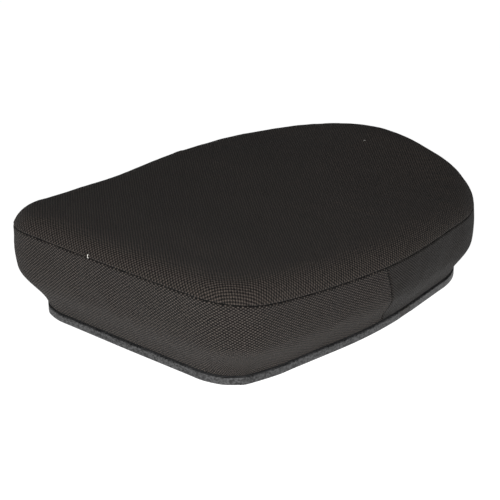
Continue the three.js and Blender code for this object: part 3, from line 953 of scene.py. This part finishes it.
for length_name, cad_node, begins, ends in [
    ("edge_profile_rear_and_sides", "side_edge_profile", -JOINER_START, JOINER_START),
    ("edge_profile_front", "front_edge_profile", JOINER_END, 1 - JOINER_END),
]:
    profile_length(length_name, cad_node, begins, ends, 0, grey_edge)
for length_name, cad_node, begins, ends in [
    ("edge_joiner_right", "profile_joiner_right", JOINER_START, JOINER_END),
    ("edge_joiner_left", "profile_joiner_left", 1 - JOINER_END, 1 - JOINER_START),
]:
    profile_length(length_name, cad_node, begins, ends, JOINER_SETBACK, dark_joiner)

# ------------------------------------------------ feet and screws, seen from below
def turned_piece(name, node, section, material, lobes=0, segments=72):
    """A turned part on the upright axis through a CAD node's middle.

    section holds (radius, z, wave): wave is how much the radius swells and shrinks round the axis, for
    a socket with that many lobes. The section closes on itself unless it starts and ends on the axis."""
    low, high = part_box(node)
    x, y = (low.x + high.x) / 2, (low.y + high.y) / 2
    angles = np.arange(segments) * 2 * math.pi / segments
    on_axis = section[0][0] == 0 and section[-1][0] == 0
    body = section[1:-1] if on_axis else section
    points = []
    for radius, z, wave in body:
        spread = radius * (1 + wave * np.cos(lobes * angles))
        ring = [x + spread * np.cos(angles), y + spread * np.sin(angles), np.full(segments, z)]
        points.append(np.column_stack(ring))
    faces = grid_faces(len(body), segments, True)
    points = np.vstack(points)
    last = (len(body) - 1) * segments
    if on_axis:
        first_point, last_point = len(points), len(points) + 1
        points = np.vstack([points, [[x, y, section[0][1]], [x, y, section[-1][1]]]])
        for k in range(segments):
            n = (k + 1) % segments
            faces.append((n, k, first_point))
            faces.append((last + k, last + n, last_point))
    else:
        faces += [(last + k, last + (k + 1) % segments, (k + 1) % segments, k) for k in range(segments)]
    if signed_volume(points - np.array([x, y, 0]), faces) < 0:
        faces = [face[::-1] for face in faces]
    piece = mesh_piece(name, points, faces, material)
    piece.data.set_sharp_from_angle(angle=math.radians(35))
    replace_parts(piece, node)


def with_wave(section):
    """A plain round section, in the form that turned_piece takes."""
    return [(radius, z, 0.0) for radius, z in section]


FOOT_RECESS = (6.3 * MM, 1.7 * MM)  # radius and height of the recess for the screw's head
FOOT_BORE = 3.3 * MM
GROOVES = (8.3 * MM, 10.6 * MM)  # inner radii of the two grooves in the foot's underside


def foot_section(node):
    low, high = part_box(node)
    widest = (high.x - low.x) / 2
    recess, recess_top = FOOT_RECESS
    corners = [(recess, 0, 0.4 * MM)]
    for groove in GROOVES:
        corners += [(groove, 0, 0.1 * MM), (groove + 0.15 * MM, 0.5 * MM, 0.1 * MM)]
        corners += [(groove + 0.75 * MM, 0.5 * MM, 0.1 * MM), (groove + 0.9 * MM, 0, 0.1 * MM)]
    corners += [(widest - 1.5 * MM, 0, 0.8 * MM), (widest, high.z, 0.3 * MM)]
    corners += [(FOOT_BORE, high.z, 0.1 * MM), (FOOT_BORE, recess_top, 0.1 * MM)]
    corners += [(recess, recess_top, 0.1 * MM)]
    return with_wave(rounded(corners, 4))


THREAD_PITCH = 0.8 * MM


def bolt_section(node, head_radius, head_bottom, head_top, socket, shank, wave):
    """A screw from its driven head below to its tip above, with a lobed socket in the head."""
    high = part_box(node)[1].z
    head = head_top - head_bottom
    floor_of_socket = head_bottom + 0.6 * head
    crown = [(head_radius * share, head_bottom + head * rise) for share, rise in DOMED_HEAD]
    section = [(0, floor_of_socket, 0), (socket * 0.85, floor_of_socket, wave), (socket, head_bottom, wave)]
    section += with_wave(crown)
    section += with_wave([(head_radius, head_top), (shank, head_top)])
    z = head_top + THREAD_PITCH
    while z < high - 2 * THREAD_PITCH:
        section += with_wave([(shank, z), (shank * 0.84, z + THREAD_PITCH / 2)])
        z += THREAD_PITCH
    return section + with_wave([(shank * 0.8, high), (0, high)])


# Shares of a screw head's radius and height: its underside is slightly domed, its rim rounded.
DOMED_HEAD = [(0.62, 0.0), (0.82, 0.06), (0.94, 0.22), (0.99, 0.45)]

FOOT_SCREW = (5.6 * MM, 0.3 * MM, 1.4 * MM, 2.2 * MM, 3 * MM, 0.06)
PROFILE_SCREW = (3.4 * MM, 0.3 * MM, 1.2 * MM, 1.3 * MM, 1.6 * MM, 0.3)

for place_name in ("rear_right", "rear_left", "front_right", "front_left"):
    foot = f"foot_{place_name}"
    turned_piece(f"rubber_{foot}", foot, foot_section(foot), foot_rubber)
    bolt = f"foot_screw_{place_name}"
    section = bolt_section(bolt, *FOOT_SCREW)
    turned_piece(f"steel_{bolt}", bolt, section, zinc_steel, lobes=6)
for name in [name for name in nodes if name.startswith("profile_screw_")]:
    section = bolt_section(name, *PROFILE_SCREW)
    turned_piece(f"steel_{name}", name, section, zinc_steel, lobes=4)

# ------------------------------------------------ a loose thread end in the seam, and some lint
LOOSE_THREAD_X = -28 * MM  # on the rear seam
LINT_PLACE = (8 * MM, 194 * MM)


def fibre(name, points, radius, material):
    path = smooth_open(np.array(points), CURVE_STEPS)
    outwards = np.tile([0.3, -0.9, 0.2], (len(path), 1))
    piece = tube(name, path, unit(outwards), radius, material, False, sides=8)


def smooth_open(points, count):
    """A Catmull-Rom curve through the points, from the first to the last."""
    ends = np.vstack([2 * points[0] - points[1], points, 2 * points[-1] - points[-2]])
    fine = []
    t = np.linspace(0, 1, 12, endpoint=False)[:, None]
    for i in range(1, len(ends) - 2):
        a, b, c, d = ends[i - 1 : i + 3]
        fine.append(b + 0.5 * t * (c - a + t * (2 * a - 5 * b + 4 * c - d + t * (3 * b - 3 * c + d - a))))
    fine = np.vstack([*fine, points[-1:]])
    run = np.concatenate([[0], np.cumsum(np.linalg.norm(np.diff(fine, axis=0), axis=1))])
    wanted = np.linspace(0, run[-1], count)
    return np.column_stack([np.interp(wanted, run, fine[:, k]) for k in range(3)])


def loose_thread():
    rear = outline[:, 1] < 0
    station = np.where(rear)[0][np.abs(outline[rear, 0] - LOOSE_THREAD_X).argmin()]
    x, y = outline[station]
    z = seam_z[station] + SEAM_SLIT / 2
    root = (x, y + 2 * MM, z)
    bends = [root, (x, y - 0.4 * MM, z + 0.4 * MM), (x + 0.5 * MM, y - 1.0 * MM, z + 2.6 * MM)]
    bends += [(x + 1.1 * MM, y - 0.7 * MM, z + 5.2 * MM)]
    fibre("loose_thread_end", bends, 0.45 * MM, pale_thread)


def lint():
    x, y = LINT_PLACE
    z = seam_height(np.array(x), np.array(y)) + SEAM_SLIT + CROWN + 0.3 * MM
    bends = [(x, y, z), (x + 1.2 * MM, y + 0.8 * MM, z + 0.5 * MM)]
    bends += [(x + 2.6 * MM, y + 0.7 * MM, z + 0.1 * MM)]
    fibre("lint", bends, 0.22 * MM, pale_thread)


loose_thread()
lint()

# ------------------------------------------------ soft layer of foam under the top panel
TOPPER_DROP = 4.4 * MM
TOPPER_DEPTH = 11.5 * MM
TOPPER_INSET = 6.2 * MM
TOPPER_BULGE = 0.9 * MM


def foam_layer():
    reach = np.linalg.norm(outline - CENTRE, axis=1)
    first = TOPPER_INSET / reach
    shares = np.array([first + (0.97 - first) * k**1.6 for k in np.linspace(0, 1, 30)])
    stations = np.broadcast_to(np.arange(STATIONS, dtype=float), shares.shape)
    face = top_face(stations, shares)
    upper = face - np.array([0, 0, TOPPER_DROP])
    lower = upper - np.array([0, 0, TOPPER_DEPTH])
    bulge = (upper[0] + lower[0]) / 2
    bulge[:, :2] -= inward * TOPPER_BULGE
    rows = np.concatenate([upper[::-1], bulge[None], lower])
    middle_top = [*CENTRE, upper[-1, :, 2].mean()]
    middle_low = [*CENTRE, lower[-1, :, 2].mean()]
    points = np.vstack([rows.reshape(-1, 3), [middle_top, middle_low]])
    faces = grid_faces(len(rows), STATIONS, True)
    last = (len(rows) - 1) * STATIONS
    for i in range(STATIONS):
        after = (i + 1) % STATIONS
        faces.append((after, i, len(points) - 2))
        faces.append((last + i, last + after, len(points) - 1))
    if signed_volume(points, faces) < 0:
        faces = [face[::-1] for face in faces]
    piece = mesh_piece("foam_top_layer", points, faces, soft_foam)
    piece.data.set_sharp_from_angle(angle=math.radians(50))
    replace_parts(piece, "foam_topper")


foam_layer()

# ------------------------------------------------ parts that stay as they are in the frame
dress("hem_cord", cord_plastic_and_slit_shade)
dress("base_board", board_plastic)
dress("foam_core", core_foam)
dress("insert_", zinc_steel)


# ------------------------------------------------ floor, light and world
FLOOR_HALF = 6.0
FLOOR_GREY = 0.25
FLOOR_GLOW = 0.97  # the floor's own light, which keeps it white up to the cushion's edge
LIGHT_TARGET = Vector((0, 0, 0.06))
AMBIENT = 0.03


def floor():
    half = FLOOR_HALF
    corners = [(-half, -half, 0), (half, -half, 0), (half, half, 0), (-half, half, 0)]
    mesh = bpy.data.meshes.new("floor")
    mesh.from_pydata(corners, [], [(0, 1, 2, 3)])
    r = Recipe("floor")
    r.finish((FLOOR_GREY,) * 3, 0.9)
    r.shader.inputs["Emission Color"].default_value = (1, 1, 1, 1)
    r.shader.inputs["Emission Strength"].default_value = FLOOR_GLOW
    mesh.materials.append(r.material)
    piece = bpy.data.objects.new("floor", mesh)
    bpy.context.scene.collection.objects.link(piece)


def softbox(name, azimuth, elevation, distance, width, height, power):
    """An area light aimed at the cushion. Azimuth is measured like the camera's, both angles in degrees."""
    data = bpy.data.lights.new(name, "AREA")
    data.shape = "RECTANGLE"
    data.size, data.size_y = width, height
    data.energy = power
    lamp = bpy.data.objects.new(name, data)
    back = direction(math.radians(azimuth), math.radians(elevation))
    lamp.location = LIGHT_TARGET + back * distance
    lamp.rotation_mode = "QUATERNION"
    lamp.rotation_quaternion = (-back).to_track_quat("-Z", "Y")
    bpy.context.scene.collection.objects.link(lamp)


floor()
softbox("key_softbox", 37, 21, 1.8, 0.6, 0.4, 37)
softbox("left_fill", -60, 25, 2.4, 0.9, 0.9, 1.0)
softbox("rear_fill", 220, 20, 2.4, 0.9, 0.9, 2.5)
world = bpy.data.worlds.new("studio")
world.use_nodes = True
world.node_tree.nodes["Background"].inputs["Color"].default_value = (1, 1, 1, 1)
world.node_tree.nodes["Background"].inputs["Strength"].default_value = AMBIENT
bpy.context.scene.world = world
bpy.context.scene.view_settings.view_transform = "Standard"
